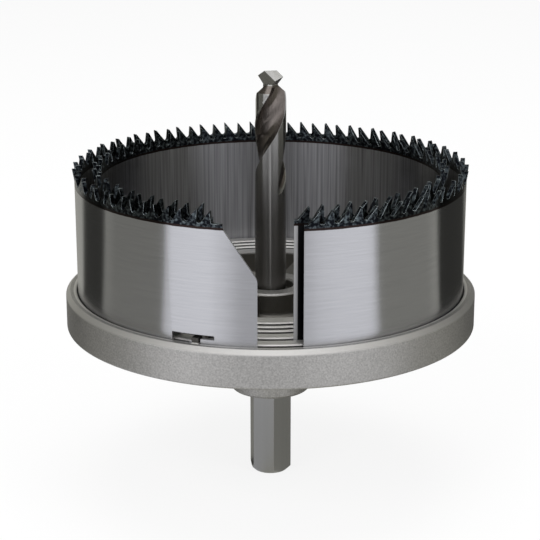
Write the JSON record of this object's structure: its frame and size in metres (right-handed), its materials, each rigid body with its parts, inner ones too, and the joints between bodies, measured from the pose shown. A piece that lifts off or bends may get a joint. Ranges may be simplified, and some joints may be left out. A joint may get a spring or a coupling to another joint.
{
  "type": "hole saw",
  "caption": "Hole saw: grooved cast carrier on a hexagonal shank, with two open ring saw bands with set teeth and a pilot drill.",
  "frame": {"origin": "centre of the hexagonal shank's end face", "axes": "+Z along the tool's axis, from the shank's end towards the teeth and the drill's point; -Y towards the bands' chip gap; +X to the right of that"},
  "size_m": [0.1062, 0.1062, 0.108],
  "materials": {
    "cast_carrier": "matt die-cast, fine sand texture",
    "shank_steel": "drawn steel, satin",
    "drill_steel": "ground high-speed steel",
    "black_steel": "black oxide",
    "band_steel": "brushed along the band, teeth hardened blue-black"
  },
  "bodies": {
    "root": {"carrier": "cast_carrier", "hex_shank": "shank_steel", "pilot_drill": "drill_steel", "drill_clamp_screw": "black_steel", "outer_saw_band": "band_steel", "inner_saw_band": "band_steel"}
  },
  "joints": []
}
